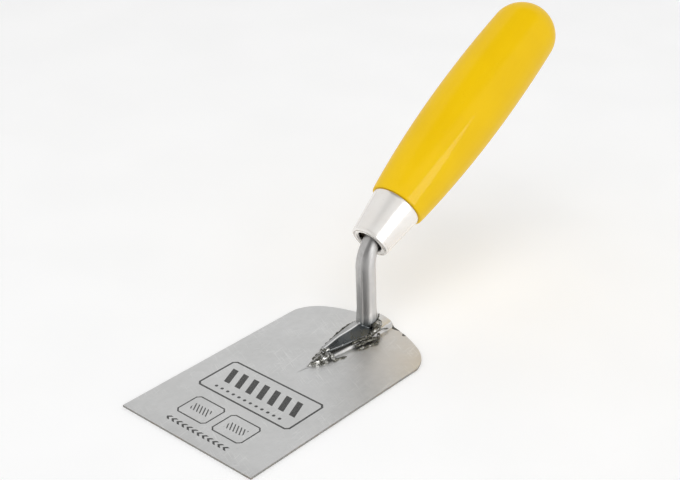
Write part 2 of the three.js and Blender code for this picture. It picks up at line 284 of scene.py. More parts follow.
class Look:
    """A Principled material and short names for the nodes that feed it."""

    def __init__(self, name, **constants):
        self.material = bpy.data.materials.new(name)
        self.material.use_nodes = True
        self.tree = self.material.node_tree
        self.tree.nodes.clear()
        output = self.node("ShaderNodeOutputMaterial")
        self.shader = self.node("ShaderNodeBsdfPrincipled")
        self.link(self.shader.outputs["BSDF"], output.inputs["Surface"])
        for key, value in constants.items():
            self.shader.inputs[socket_name(key)].default_value = value
        place = self.node("ShaderNodeTexCoord").outputs["Object"]
        scale = self.node("ShaderNodeVectorMath")
        scale.operation = "SCALE"
        scale.inputs["Scale"].default_value = 1 / MM
        self.link(place, scale.inputs[0])
        self.place = scale.outputs[0]

    def node(self, kind):
        return self.tree.nodes.new(kind)

    def link(self, source, target):
        if isinstance(source, bpy.types.NodeSocket):
            self.tree.links.new(source, target)
        else:
            target.default_value = source

    def math(self, operation, *values):
        n = self.node("ShaderNodeMath")
        n.operation = operation
        for socket, value in zip(n.inputs, values):
            self.link(value, socket)
        return n.outputs[0]

    def xyz(self):
        n = self.node("ShaderNodeSeparateXYZ")
        self.link(self.place, n.inputs[0])
        return n.outputs

    def turned(self, degrees=(0, 0, 0), stretch=(1, 1, 1)):
        """The place in millimetres, turned and then divided by stretch, which lengthens patterns."""
        n = self.node("ShaderNodeMapping")
        n.vector_type = "POINT"
        n.inputs["Rotation"].default_value = [math.radians(d) for d in degrees]
        self.link(self.place, n.inputs["Vector"])
        shrink = self.node("ShaderNodeVectorMath")
        shrink.operation = "DIVIDE"
        shrink.inputs[1].default_value = stretch
        self.link(n.outputs[0], shrink.inputs[0])
        return shrink.outputs[0]

    def noise(self, size, detail=2, place=None):
        """Noise whose lumps are about size millimetres across."""
        n = self.node("ShaderNodeTexNoise")
        n.inputs["Scale"].default_value = 1 / size
        n.inputs["Detail"].default_value = detail
        n.inputs["Roughness"].default_value = 0.5
        self.link(self.place if place is None else place, n.inputs["Vector"])
        return n.outputs[0]

    def span(self, value, low, high, to_low=0.0, to_high=1.0):
        """value from low to high, mapped to the range from to_low to to_high and held at its ends."""
        n = self.node("ShaderNodeMapRange")
        n.interpolation_type = "SMOOTHSTEP"
        self.link(value, n.inputs["Value"])
        ends = {"From Min": low, "From Max": high, "To Min": to_low, "To Max": to_high}
        for key, number in ends.items():
            n.inputs[key].default_value = number
        return n.outputs[0]

    def mix(self, factor, a, b):
        n = self.node("ShaderNodeMix")
        n.data_type = "RGBA"
        self.link(factor, n.inputs["Factor"])
        for value, socket in ((a, n.inputs[6]), (b, n.inputs[7])):
            self.link((*value, 1) if isinstance(value, tuple) else value, socket)
        return n.outputs[2]

    def bump(self, height, depth, below=None):
        """Bumps of a height from 0 to 1 that stand depth millimetres proud."""
        n = self.node("ShaderNodeBump")
        n.inputs["Strength"].default_value = 1
        n.inputs["Distance"].default_value = depth * MM
        self.link(height, n.inputs["Height"])
        if below is not None:
            self.link(below, n.inputs["Normal"])
        return n.outputs[0]

    def pointiness(self):
        """About 0.5 on flat parts, more on outer edges and less in hollows."""
        return self.node("ShaderNodeNewGeometry").outputs["Pointiness"]

    def scratches(self, degrees, size, length, low, high):
        """Sparse fine lines: noise size millimetres across, drawn out length times along a turned X."""
        place = self.turned((0, 0, degrees), (length, 1, 1))
        return self.span(self.noise(size, 1, place), low, high)

    def set(self, **sockets):
        for key, value in sockets.items():
            self.link(value, self.shader.inputs[socket_name(key)])


# ------------------------------------------------------------------------------------ materials

PRINT_Z = 0.6


def printed_mark(look):
    """How much ink lies on the blade: a plain cut-corner panel of slanted bars over dots, two smaller
    hatched panels in front of it, and a row of chevrons in front of those."""
    x, y, z = look.xyz()
    m = look.math
    side = m("ABSOLUTE", x)

    def both(a, b):
        return m("MULTIPLY", a, b)

    def near(value, middle, half):
        return m("LESS_THAN", m("ABSOLUTE", m("SUBTRACT", value, middle)), half)

    def stripes(value, pitch, share):
        return m("LESS_THAN", m("FRACT", m("DIVIDE", value, pitch)), share)

    def outline(side_x, side_y, half_x, half_y, cut, line):
        past_side = m("SUBTRACT", side_x, half_x)
        past_end = m("SUBTRACT", side_y, half_y)
        past_corner = m("SUBTRACT", m("ADD", side_x, side_y), half_x + half_y - cut)
        past = m("MAXIMUM", m("MAXIMUM", past_side, past_end), m("MULTIPLY", past_corner, math.sqrt(0.5)))
        return near(past, -line, line)

    panel_y = 11.5
    frame_line = outline(side, m("ABSOLUTE", m("SUBTRACT", y, panel_y)), 28.6, 12.6, 1.8, 0.5)

    bars_y, bars_half, bar_pitch = 13.4, 5.2, 6.8
    slant = m("ADD", x, m("MULTIPLY", m("SUBTRACT", y, bars_y), 0.4))
    bars = both(near(y, bars_y, bars_half), near(slant, 0, 3.5 * bar_pitch))
    bars = both(bars, stripes(m("ADD", slant, bar_pitch / 4), bar_pitch, 0.5))

    dots_y, dot_pitch, dot_radius = 3.4, 3.6, 0.8
    dot_x = m("MULTIPLY", m("SUBTRACT", m("FRACT", m("DIVIDE", x, dot_pitch)), 0.5), dot_pitch)
    dot_y = m("SUBTRACT", y, dots_y)
    reach = m("SQRT", m("ADD", m("MULTIPLY", dot_x, dot_x), m("MULTIPLY", dot_y, dot_y)))
    dots = both(m("LESS_THAN", reach, dot_radius), m("LESS_THAN", side, 6 * dot_pitch))

    small_x, small_y = 11, -14.6
    from_small_x = m("ABSOLUTE", m("SUBTRACT", side, small_x))
    from_small_y = m("ABSOLUTE", m("SUBTRACT", y, small_y))
    small_frames = outline(from_small_x, from_small_y, 9.2, 7.6, 1.8, 0.36)
    hatch = m("ADD", x, m("MULTIPLY", m("SUBTRACT", y, small_y), 0.6))
    hatching = both(m("LESS_THAN", from_small_x, 5.4), m("LESS_THAN", from_small_y, 2.4))
    hatching = both(hatching, stripes(hatch, 1.9, 0.36))

    row_y, row_half, row_reach = -27.6, 1.4, 19
    lean = m("ADD", x, m("MULTIPLY", m("ABSOLUTE", m("SUBTRACT", y, row_y)), -1.1))
    chevrons = both(
        both(near(y, row_y, row_half), m("LESS_THAN", side, row_reach)), stripes(lean, 3.2, 0.46)
    )

    ink = frame_line
    for part in (bars, dots, small_frames, hatching, chevrons):
        ink = m("MAXIMUM", ink, part)
    return both(ink, m("GREATER_THAN", z, PRINT_Z))


def blade_steel():
    look = Look("blade_steel", metallic=1.0)
    x, y, z = look.xyz()
    cloud = look.noise(26, 3)
    mottle = look.noise(3.2, 3)
    grain = look.noise(0.5, 2, look.turned((0, 0, 0), (1, 9, 1)))
    clear = look.mix(look.span(cloud, 0.35, 0.65), (0.71, 0.712, 0.705), (0.78, 0.782, 0.78))
    speckled = look.mix(look.span(mottle, 0.3, 0.7), (0.705, 0.707, 0.7), (0.79, 0.79, 0.785))
    clear = look.mix(0.5, clear, speckled)
    clear = look.mix(look.span(grain, 0.3, 0.7, 0.0, 0.12), clear, (0.88, 0.88, 0.87))

    # A straw tint on the heel, strongest on the right, taken for the heat of the welds.
    near_heel = look.span(y, 40, 92)
    to_right = look.span(x, -22, 30)
    heat = look.math("MULTIPLY", near_heel, to_right)
    heat = look.math("MULTIPLY", heat, look.span(look.noise(17, 2), 0.25, 0.7, 0.45, 1.0))
    clear = look.mix(look.math("MULTIPLY", heat, 0.7), clear, (0.745, 0.695, 0.635))

    # Painted light at the heel: a painted highlight pales the rib's crown, painted shade dulls its flanks,
    # and a painted highlight brightens the sheet beside the foot, against the foot's shade and dark
    # reflection there. Tones matched to the photo, where they may be reflections: the rib's crown is paler
    # at the heel, its flanks are duller, and the sheet beside the foot is brighter.
    crown = look.math("MULTIPLY", look.span(z, 3.0, 3.6, 0.0, 0.85), look.span(y, 84, 90))
    clear = look.mix(crown, clear, (0.86, 0.86, 0.86))
    # Painted shade: the rib's flanks are duller at the heel.
    painted_flank_shade = look.math("MULTIPLY", look.span(z, 1.5, 2.1), look.span(z, 2.9, 3.5, 0.7, 0.0))
    painted_flank_shade = look.math("MULTIPLY", painted_flank_shade, look.span(y, 78, 86))
    clear = look.mix(painted_flank_shade, clear, (0.5, 0.49, 0.475))
    # Painted highlight: the sheet next to the foot is brighter.
    beside = look.math("MULTIPLY", look.span(x, 4.6, 5.6), look.span(x, 8, 11, 0.75, 0.0))
    along = look.math("MULTIPLY", look.span(y, 54, 58), look.span(y, 68, 74, 1.0, 0.0))
    clear = look.mix(look.math("MULTIPLY", beside, along), clear, (0.97, 0.965, 0.95))

    # Two dark marks on the heel's edge, right of the rib: painted shade, standing for dark reflections in
    # the sheet's curve at the rib's end. Two dark marks on the heel's edge, right of the rib, where the
    # photo seems to show a tear and a nick.
    out_y = look.math("ADD", y, look.math("MULTIPLY", x, HEEL_SKEW))
    out_y = look.math("SUBTRACT", out_y, HEEL_Y - HEEL_RADIUS)
    squares = look.math("ADD", look.math("MULTIPLY", x, x), look.math("MULTIPLY", out_y, out_y))
    from_edge = look.math("SUBTRACT", HEEL_RADIUS, look.math("SQRT", squares))
    first = look.math("MULTIPLY", look.span(x, 7.4, 8.6, 0.0, 1.8), look.span(x, 9, 14, 1.0, 0.0))
    second = look.math("MULTIPLY", look.span(x, 15, 16.4, 0.0, 1.5), look.span(x, 16.6, 18.4, 1.0, 0.0))
    depth = look.math("MAXIMUM", first, second)
    painted_heel_edge_shade = look.span(look.math("SUBTRACT", from_edge, depth), -0.15, 0.15, 0.92, 0.0)
    painted_heel_edge_shade = look.math("MULTIPLY", painted_heel_edge_shade, look.span(depth, 0, 0.3))
    painted_heel_edge_shade = look.math("MULTIPLY", painted_heel_edge_shade, look.span(y, 80, 84))
    clear = look.mix(painted_heel_edge_shade, clear, (0.09, 0.087, 0.075))

    fine = look.scratches(24, 0.4, 22, 0.58, 0.7)
    cross = look.scratches(-52, 0.42, 14, 0.62, 0.74)
    long = look.scratches(82, 0.42, 34, 0.61, 0.73)
    lines = look.math("MAXIMUM", look.math("MAXIMUM", fine, cross), long)
    worn = look.span(look.noise(14, 2, look.turned((0, 0, 40))), 0.4, 0.62)
    lines = look.math("MULTIPLY", lines, worn)
    clear = look.mix(look.math("MULTIPLY", lines, 0.4), clear, (0.97, 0.97, 0.96))
    specks = look.span(look.noise(0.75, 2), 0.7, 0.76)
    clear = look.mix(look.math("MULTIPLY", specks, 0.3), clear, (0.42, 0.41, 0.39))

    ink = printed_mark(look)
    patchy = look.span(look.noise(0.45, 3), 0.3, 0.62, 0.84, 0.97)
    ink = look.math("MULTIPLY", ink, patchy)
    look.set(base_color=look.mix(ink, clear, (0.085, 0.085, 0.083)))

    satin = look.span(mottle, 0.25, 0.75, 0.4, 0.46)
    satin = look.math("SUBTRACT", satin, look.math("MULTIPLY", lines, 0.05))
    look.set(roughness=look.math("MAXIMUM", satin, look.math("MULTIPLY", ink, 0.55)))

    skin = look.bump(look.noise(12, 1), 0.03)
    skin = look.bump(grain, 0.003, below=skin)
    look.set(normal=look.bump(lines, 0.002, below=skin))
    return look.material


def sheared_edge():
    look = Look("sheared_edge", metallic=1.0)
    tear = look.noise(0.35, 2, look.turned((0, 0, 0), (1, 1, 5)))
    rust = look.span(look.noise(6, 3), 0.45, 0.65)
    steel = look.mix(look.span(tear, 0.3, 0.7), (0.22, 0.215, 0.2), (0.4, 0.39, 0.37))
    look.set(base_color=look.mix(look.math("MULTIPLY", rust, 0.35), steel, (0.3, 0.23, 0.17)))
    look.set(roughness=look.span(tear, 0.3, 0.7, 0.42, 0.6))
    look.set(normal=look.bump(tear, 0.03))
    return look.material


def forged_steel():
    look = Look("forged_steel", metallic=1.0)
    x, y, z = look.xyz()
    scale_marks = look.noise(2.6, 3)
    grain = look.noise(0.34, 2, look.turned((0, 0, 0), (1, 1, 7)))
    body = look.mix(look.span(scale_marks, 0.3, 0.7), (0.48, 0.47, 0.46), (0.57, 0.56, 0.55))
    body = look.mix(look.span(grain, 0.35, 0.7, 0.0, 0.18), body, (0.7, 0.69, 0.68))
    pits = look.span(look.noise(0.8, 1), 0.71, 0.77)
    body = look.mix(look.math("MULTIPLY", pits, 0.5), body, (0.2, 0.19, 0.18))

    # Painted reflections on the neck: painted shade dulls its front and a darker band beside its ridge, and
    # a painted highlight makes a bright stripe to the right of that. Tones matched to the photo, where they
    # may be reflections: the neck has a dull front with a darker band beside its ridge, and a bright strip
    # to the right of that.
    neck = look.span(z, 9, 13)
    left_of_strip = look.span(x, 3.7, 4.4, 1.0, 0.0)
    band = look.math("MULTIPLY", look.span(x, 1.0, 1.8, 0.0, 0.9), left_of_strip)
    front = look.math("MULTIPLY", look.span(z, 24, 34, 0.6, 0.0), left_of_strip)
    painted_neck_shade = look.math("MULTIPLY", look.math("MAXIMUM", band, front), neck)
    body = look.mix(painted_neck_shade, body, (0.33, 0.325, 0.32))
    # Painted highlight: a bright stripe right of the darker band.
    painted_neck_highlight = look.math("MULTIPLY", look.span(x, 4.0, 4.5, 0.0, 0.6), neck)
    body = look.mix(painted_neck_highlight, body, (0.68, 0.67, 0.66))

    # The foot is a darker blue grey, as painted shade over its right facet and in streaks on its left, with
    # painted near-black shade on its sides and painted highlights along its edges and ridge.
    low = look.span(z, 6.5, 13, 1.0, 0.0)
    right = look.span(x, -0.6, 0.8)
    streaks = look.noise(0.7, 2, look.turned((0, 0, 12), (1, 8, 1)))
    left_blue = look.span(streaks, 0.35, 0.65, 0.3, 0.7)
    foot_shade_and_streaks = look.math("MULTIPLY", low, look.math("MAXIMUM", right, left_blue))
    body = look.mix(foot_shade_and_streaks, body, (0.19, 0.205, 0.213))
    # Painted highlights along the foot's edges and its ridge.
    edges = look.math("MULTIPLY", look.span(look.pointiness(), 0.515, 0.55), look.span(z, 8, 12, 1.0, 0.25))
    from_ridge = look.math("ABSOLUTE", look.math("ADD", x, 0.15))
    ridge = look.span(from_ridge, 0.25, 0.6, 1.0, 0.0)
    ridge = look.math("MULTIPLY", ridge, look.span(z, 7.4, 7.9, 1.0, 0.0))
    edges = look.math("MAXIMUM", edges, ridge)
    body = look.mix(edges, body, (0.9, 0.9, 0.89))
    # Painted shade: the foot's low sides are near-black.
    side = look.span(z, 3.2, 4.2, 1.0, 0.0)
    look.set(base_color=look.mix(side, body, (0.035, 0.034, 0.03)))
    satin = look.span(scale_marks, 0.3, 0.7, 0.38, 0.46)
    look.set(roughness=look.math("SUBTRACT", satin, look.math("MULTIPLY", low, 0.12)))
    skin = look.bump(scale_marks, 0.012)
    skin = look.bump(grain, 0.004, below=skin)
    pitted = look.math("SUBTRACT", 1, pits)
    look.set(normal=look.bump(pitted, 0.05, below=skin))
    return look.material


def weld_metal():
    look = Look("weld_metal", metallic=1.0)
    x, y, z = look.xyz()
    flow = look.noise(1.9, 1)
    crust = look.noise(0.9, 2)
    slag = look.mix(look.span(crust, 0.35, 0.65), (0.21, 0.205, 0.178), (0.075, 0.073, 0.06))

    # The run at the tip and the top of the heel's run are mostly clean metal and the rest is mostly slag.
    bias = look.math("MAXIMUM", look.span(y, 54, 68, 0.0, 0.15), look.span(x, 5.2, 6.6, 0.0, 0.15))
    bias = look.math("MULTIPLY", bias, look.span(z, 4.6, 6, 1.0, 0.2))
    clean = look.span(look.math("SUBTRACT", flow, bias), 0.46, 0.54)
    colour = look.mix(look.math("MULTIPLY", clean, 0.9), slag, (0.56, 0.555, 0.53))
    # Painted glints: the pointed tops of the lumps are lightened, most on the tip's run and the top of the
    # heel's run.
    glint_strength = look.span(bias, 0, 0.15, 0.6, 0.12)
    painted_glints = look.math("MULTIPLY", look.span(look.pointiness(), 0.53, 0.6), glint_strength)
    look.set(base_color=look.mix(painted_glints, colour, (0.78, 0.775, 0.75)))
    look.set(roughness=look.span(clean, 0, 1, 0.5, 0.34))
    look.set(normal=look.bump(crust, 0.02))
    return look.material


def nickel():
    look = Look("nickel", metallic=0.7)
    cloud = look.noise(7, 2)
    brush = look.noise(0.3, 2, look.turned((90 - math.degrees(HANDLE_TILT), 0, 0), (6, 6, 1)))
    plate = look.mix(look.span(cloud, 0.3, 0.7), (0.9, 0.865, 0.825), (0.93, 0.905, 0.87))
    stain = look.span(look.noise(1.3, 3), 0.68, 0.76)
    look.set(base_color=look.mix(look.math("MULTIPLY", stain, 0.25), plate, (0.6, 0.54, 0.47)))
    look.set(roughness=look.span(cloud, 0.3, 0.7, 0.17, 0.24))
    skin = look.bump(look.noise(8, 1), 0.03)
    look.set(normal=look.bump(brush, 0.0006, below=skin))
    return look.material


def lacquer():
    look = Look(
        "lacquer", coat_weight=0.3, coat_roughness=0.07, roughness=0.6, specular_ior_level=0.05,
        sheen_weight=0.16, sheen_roughness=0.25, sheen_tint=(1, 0.86, 0.66, 1),
    )
    grain_place = look.turned((90 - math.degrees(HANDLE_TILT), 0, 0), (1, 1, 14))
    fibres = look.noise(1.6, 3, grain_place)
    cloud = look.noise(24, 2)
    paint = look.mix(look.span(cloud, 0.3, 0.7), (0.865, 0.545, 0.002), (0.895, 0.57, 0.002))
    look.set(base_color=look.mix(look.span(fibres, 0.35, 0.75, 0.0, 0.1), paint, (0.91, 0.61, 0.01)))
    skin = look.bump(look.noise(3.4, 1), 0.010)
    skin = look.bump(fibres, 0.006, below=skin)
    nibs = look.span(look.noise(1.1, 0), 0.785, 0.83)
    look.set(normal=look.bump(nibs, 0.05, below=skin))
    return look.material


def shaded_raw_wood():
    look = Look("shaded_raw_wood", roughness=0.7)
    rings = look.noise(1.2, 3, look.turned((90 - math.degrees(HANDLE_TILT), 0, 0), (1, 1, 20)))
    # Dark end grain, painted darker still as shade inside the ferrule's mouth.
    look.set(base_color=look.mix(look.span(rings, 0.3, 0.7), (0.07, 0.05, 0.035), (0.12, 0.09, 0.06)))
    look.set(normal=look.bump(rings, 0.05))
    return look.material


def paper_floor():
    look = Look("paper_floor", roughness=0.9)
    fleck = look.noise(60, 2)
    look.set(base_color=look.mix(look.span(fleck, 0.3, 0.7), (0.9, 0.9, 0.9), (0.92, 0.92, 0.92)))
    look.set(emission_color=(1, 1, 1, 1), emission_strength=FLOOR_GLOW)
    return look.material


# ------------------------------------------------------------------------------------ blade


def heel_y(x):
    """The blade's rear outline: a shallow heel arc running into a corner arc on each side."""
    corner_x = BLADE_WIDTH / 2 - CORNER_RADIUS * math.cos(CORNER_KINK)
    between = HEEL_RADIUS - CORNER_RADIUS
    heel_centre = HEEL_Y - HEEL_RADIUS
    corner_centre = heel_centre + math.sqrt(between**2 - corner_x**2)
    away = abs(x)
    if away < HEEL_RADIUS * corner_x / between:
        return heel_centre + math.sqrt(HEEL_RADIUS**2 - away**2) - HEEL_SKEW * x
    return corner_centre + math.sqrt(CORNER_RADIUS**2 - (away - corner_x) ** 2) - HEEL_SKEW * x


def rib_half_width(along):
    return RIB_HALF_WIDTH * (1 - (1 - along) ** 1.9)


def rib_z(x, y):
    """Height of the pressed sheet's underside above the flat."""
    along = clamp((y - RIB_START_Y) / (HEEL_Y - RIB_START_Y))
    if along == 0:
        return 0.0
    across = abs(x) / rib_half_width(along)
    crown = 1 - RIB_CROWN_FALL * across**2
    wall = 1 - smoothstep(across, RIB_WALL_TOP, RIB_WALL_FOOT)
    flare = 1 - smoothstep(across, RIB_WALL_TOP, FLARE_REACH)
    return RIB_HEIGHT * along**1.1 * crown * wall + FLARE_HEIGHT * along * flare


def build_blade():
    crown = np.linspace(0, RIB_WALL_TOP - 0.04, 9)
    wall = np.linspace(RIB_WALL_TOP, RIB_WALL_FOOT, 12)
    flare = np.linspace(RIB_WALL_FOOT + 0.06, FLARE_REACH, 8)
    rib_columns = np.concatenate([crown, wall, flare])
    outer_columns = 1 - (1 - np.linspace(0, 1, 25)[1:]) ** 1.8
    flat_rows, rib_rows = 8, 72
    rows = []
    for row in range(-flat_rows, rib_rows + 1):
        v = max(row, 0) / rib_rows
        forward = max(-row, 0) / flat_rows
        half_width = lerp(max(rib_half_width(v), 1), RIB_HALF_WIDTH, forward)
        inner = rib_columns * half_width
        outer = lerp(FLARE_REACH * half_width, BLADE_WIDTH / 2, outer_columns)
        right = np.concatenate([inner, outer])
        line = []
        for x in np.concatenate([-right[:0:-1], right]):
            y = lerp(RIB_START_Y, heel_y(x), v) if row > 0 else lerp(RIB_START_Y, FRONT_Y, forward)
            line.append((x, y, rib_z(x, y)))
        rows.append(line)

    columns = len(rows[0])
    lower = [p for line in rows for p in line]
    upper = [(x, y, z + BLADE_THICKNESS) for x, y, z in lower]
    lift = len(lower)
    faces = []
    for row in range(len(rows) - 1):
        for column in range(columns - 1):
            a = row * columns + column
            b = a + columns
            faces.append((a, b, b + 1, a + 1))
            faces.append((a + lift, a + 1 + lift, b + 1 + lift, b + lift))
    last = len(rows) - 1
    rim = [column for column in range(columns)]
    rim += [row * columns + columns - 1 for row in range(1, last + 1)]
    rim += [last * columns + column for column in range(columns - 2, -1, -1)]
    rim += [row * columns for row in range(last - 1, 0, -1)]
    first_rim_face = len(faces)
    for index, a in enumerate(rim):
        b = rim[(index + 1) % len(rim)]
        faces.append((a, b, b + lift, a + lift))

    piece = make_piece("blade_sheet", lower + upper, faces)
    for material in (blade_steel(), sheared_edge()):
        piece.data.materials.append(material)
    for polygon in piece.data.polygons[first_rim_face:]:
        polygon.material_index = 1
    face_outwards(piece)
    bevel = piece.modifiers.new("worn_edges", "BEVEL")
    bevel.width = EDGE_BEVEL * MM
    bevel.segments = 2
    bevel.limit_method = "ANGLE"
    bevel.angle_limit = math.radians(50)
    apply_modifiers(piece)
    shade(piece, 30)
    return piece


# ------------------------------------------------------------------------------------ tang


def rod_path():
    """Points of the neck, the round bend and the spike, with where the bend starts and ends."""
    run = AXIS.y / AXIS.z
    corner_z = (NECK_BASE.y + NECK_LEAN * NECK_BASE.z - MOUTH.y + run * MOUTH.z) / (run + NECK_LEAN)
    corner = Vector((0, NECK_BASE.y - NECK_LEAN * (corner_z - NECK_BASE.z), corner_z))
    up = (corner - NECK_BASE).normalized()
    turn = up.angle(AXIS)
    setback = BEND_RADIUS * math.tan(turn / 2)
    bend_start = corner - up * setback
    bend_end = corner + AXIS * setback
    inward = (AXIS - up * AXIS.dot(up)).normalized()
    centre = bend_start + inward * BEND_RADIUS
    neck_steps, bend_steps, spike_steps = 24, 30, 24
    path = [NECK_BASE.lerp(bend_start, i / neck_steps) for i in range(neck_steps)]
    for i in range(bend_steps):
        angle = turn * i / bend_steps
        path.append(centre - inward * BEND_RADIUS * math.cos(angle) + up * BEND_RADIUS * math.sin(angle))
    spike_end = MOUTH + AXIS * SPIKE_DEPTH
    path += [bend_end.lerp(spike_end, i / spike_steps) for i in range(spike_steps + 1)]
    return path, bend_start, bend_end


# How much of a round rod's radius goes when its mesh is fused and softened.
FUSING_LOSS = 0.1


def rod_rings(segments=96):
    path, bend_start, bend_end = rod_path()
    straight_from = (bend_end - MOUTH).dot(AXIS)
    rings = []
    for index, point in enumerate(path):
        along = path[min(index + 1, len(path) - 1)] - path[max(index - 1, 0)]
        front = ACROSS.cross(along.normalized())
        s = (point - MOUTH).dot(AXIS)
        flare = 1 - smoothstep(point.z - NECK_BASE.z, 0, NECK_FLARE_HEIGHT)
        neck = lerp(NECK_RADIUS, NECK_FLARE_RADIUS, flare)
        spike = lerp(
            SPIKE_RADIUS, SPIKE_TIP_RADIUS, clamp((s - straight_from) / (SPIKE_DEPTH - straight_from))
        )
        radius = lerp(neck, spike, smoothstep(point.z, bend_start.z, bend_end.z))
        flash = FLASH_HEIGHT * (1 - smoothstep(s, -10, 0))
        ring = []
        for i in range(segments):
            angle = 2 * math.pi * i / segments
            turned = abs(angle - FLASH_TURN)
            from_ridge = min(turned, 2 * math.pi - turned)
            ridge = 1.2 * math.exp(-((from_ridge / 0.09) ** 2))
            swell = 0.2 * (1 - smoothstep(from_ridge, 0, 2 * FLASH_HALF_ANGLE))
            r = radius + FUSING_LOSS + flash * (ridge + swell)
            ring.append(point + front * (r * math.cos(angle)) + ACROSS * (r * math.sin(angle)))
        rings.append(ring)
    return rings


def foot_rings():
    """Sections of the spearhead foot: a sole that follows the rib, upright sides and two sloping facets
    that meet in a narrow flat ridge."""
    length = FOOT_WIDE_Y - FOOT_TIP_Y
    last_u = 1.28
    steps = 44
    rings = []
    for step in range(steps + 1):
        u = last_u * step / steps
        y = FOOT_TIP_Y + u * length
        past_wide = clamp((y - FOOT_WIDE_Y) / (FOOT_BACK_Y - FOOT_WIDE_Y))
        growing = lerp(FOOT_TIP_HALF_WIDTH, FOOT_HALF_WIDTH, min(u, 1) ** 0.8)
        half = growing * lerp(1, FOOT_BACK_HALF_WIDTH / FOOT_HALF_WIDTH, past_wide**2)
        side = lerp(FOOT_SIDE_TIP_Z, FOOT_SIDE_BACK_Z, min(u, 1))
        ridge_base = lerp(FOOT_RIDGE_TIP_Z, FOOT_RIDGE_MIDDLE_Z, smoothstep(u, 0, 0.5))
        ridge = lerp(ridge_base, FOOT_RIDGE_BACK_Z, smoothstep(u, 0.6, 1.2))
        land = lerp(0.3, 0.6, min(u, 1))
        across = np.linspace(-1, 1, 21)
        ring = [Vector((a * half, y, rib_z(a * half, y) + BLADE_THICKNESS + GAP)) for a in across]
        ring.append(Vector((half, y, side)))
        ring.append(Vector((land, y, ridge)))
        ring.append(Vector((-land, y, ridge)))
        ring.append(Vector((-half, y, side)))
        rings.append(ring)
    return rings


def build_tang():
    points, faces = loft(rod_rings())
    foot_points, foot_faces = loft(foot_rings())
    start = len(points)
    points += foot_points
    faces += [tuple(i + start for i in face) for face in foot_faces]
    piece = make_piece("forged_tang", points, faces)
    fuse(piece, voxel=0.16, smoothing=1)
    roughen(piece, (5, 0.04))
    shade(piece, 180)
    piece.data.materials.append(forged_steel())
    return piece


# ------------------------------------------------------------------------------------ ferrule and handle


def ferrule_radius(s):
    return lerp(FERRULE_MOUTH_RADIUS, FERRULE_REAR_RADIUS, s / FERRULE_LENGTH)


def build_ferrule():
    edge = ferrule_radius(FERRULE_EDGE_ROUND) - FERRULE_EDGE_ROUND
    lip_round = 0.9
    lip_back = FERRULE_EDGE_ROUND + 0.3
    rear_round = 0.25
    profile = []
    for step in range(9):
        angle = math.pi / 2 * step / 8
        inward = lip_round * (1 - math.sin(angle))
        profile.append((FERRULE_HOLE_RADIUS + lip_round * (1 - math.cos(angle)), 0.1 + inward))
    groove = [(8.4, 0.1), (8.5, 0.5), (8.75, 0.5), (8.9, 0.04)]
    profile += groove
    for step in range(1, 13):
        angle = math.pi / 2 * step / 12
        profile.append(
            (edge + FERRULE_EDGE_ROUND * math.sin(angle), FERRULE_EDGE_ROUND * (1 - math.cos(angle)))
        )
    line_start, line_width, line_depth = FERRULE_EDGE_ROUND + 0.25, 0.3, 0.14
    for s, depth in ((0, 0), (0.3, line_depth), (0.7, line_depth), (1, 0)):
        s = line_start + s * line_width
        profile.append((ferrule_radius(s) - depth, s))
    for step in range(1, 25):
        s = lerp(line_start + line_width, FERRULE_LENGTH - rear_round, step / 24)
        profile.append((ferrule_radius(s), s))
    profile.append((FERRULE_REAR_RADIUS - 0.1, FERRULE_LENGTH - 0.06))
    profile.append((FERRULE_REAR_RADIUS - rear_round, FERRULE_LENGTH))
    profile.append((FERRULE_REAR_RADIUS - FERRULE_WALL, FERRULE_LENGTH))
    profile.append((ferrule_radius(lip_back) - FERRULE_WALL, lip_back + 0.5))
    profile.append((ferrule_radius(lip_back) - FERRULE_WALL - 0.6, lip_back))
    profile.append((FERRULE_HOLE_RADIUS, lip_back))
    points, faces = lathe(profile)
    piece = make_piece("ferrule_shell", points, faces, sharp_angle=38)
    face_outwards(piece)
    piece.data.materials.append(nickel())
    return piece


def handle_radius(s):
    """Outer radius of the handle behind its shoulder; a dome closes the end."""
    u = (s - FERRULE_LENGTH) / (HANDLE_BODY_END - FERRULE_LENGTH)
    a, b, c = HANDLE_SWELL
    body = HANDLE_SHOULDER_RADIUS + a * u + b * u**2 + c * u**3
    dome = max(s - HANDLE_BODY_END, 0) / HANDLE_DOME
    return body * math.sqrt(max(1 - dome**2, 0))


def build_handle():
    shoulder = FERRULE_LENGTH + GAP
    profile = [
        (0, BORE_DEPTH),
        (SPIKE_TIP_RADIUS + GAP, BORE_DEPTH),
        (SPIKE_RADIUS + GAP, 9),
        (BORE_RADIUS, TENON_FACE),
        (ferrule_radius(TENON_FACE) - FERRULE_WALL - GAP, TENON_FACE),
        (ferrule_radius(shoulder) - FERRULE_WALL - GAP, shoulder),
    ]
    raw_rows = len(profile) - 2
    rim = handle_radius(shoulder) - SHOULDER_ROUND
    for step in range(9):
        angle = math.pi / 2 * step / 8
        profile.append(
            (
                rim + SHOULDER_ROUND * math.sin(angle),
                shoulder + SHOULDER_ROUND * (1 - math.cos(angle)),
            )
        )
    body_start = shoulder + SHOULDER_ROUND
    for step in range(1, 73):
        s = lerp(body_start, HANDLE_BODY_END, step / 72)
        profile.append((handle_radius(s), s))
    for step in range(1, 29):
        s = HANDLE_BODY_END + HANDLE_DOME * math.sin(math.pi / 2 * step / 28)
        profile.append((handle_radius(s) if step < 28 else 0, s))
    segments = 144
    points, faces = lathe(profile, segments)
    piece = make_piece("handle_grip", points, faces, sharp_angle=50)
    face_outwards(piece)
    for material in (lacquer(), shaded_raw_wood()):
        piece.data.materials.append(material)
    for index, polygon in enumerate(piece.data.polygons):
        polygon.material_index = 1 if index < raw_rows * segments else 0
    return piece


# ------------------------------------------------------------------------------------ welds

WELD_LOOK = weld_metal()

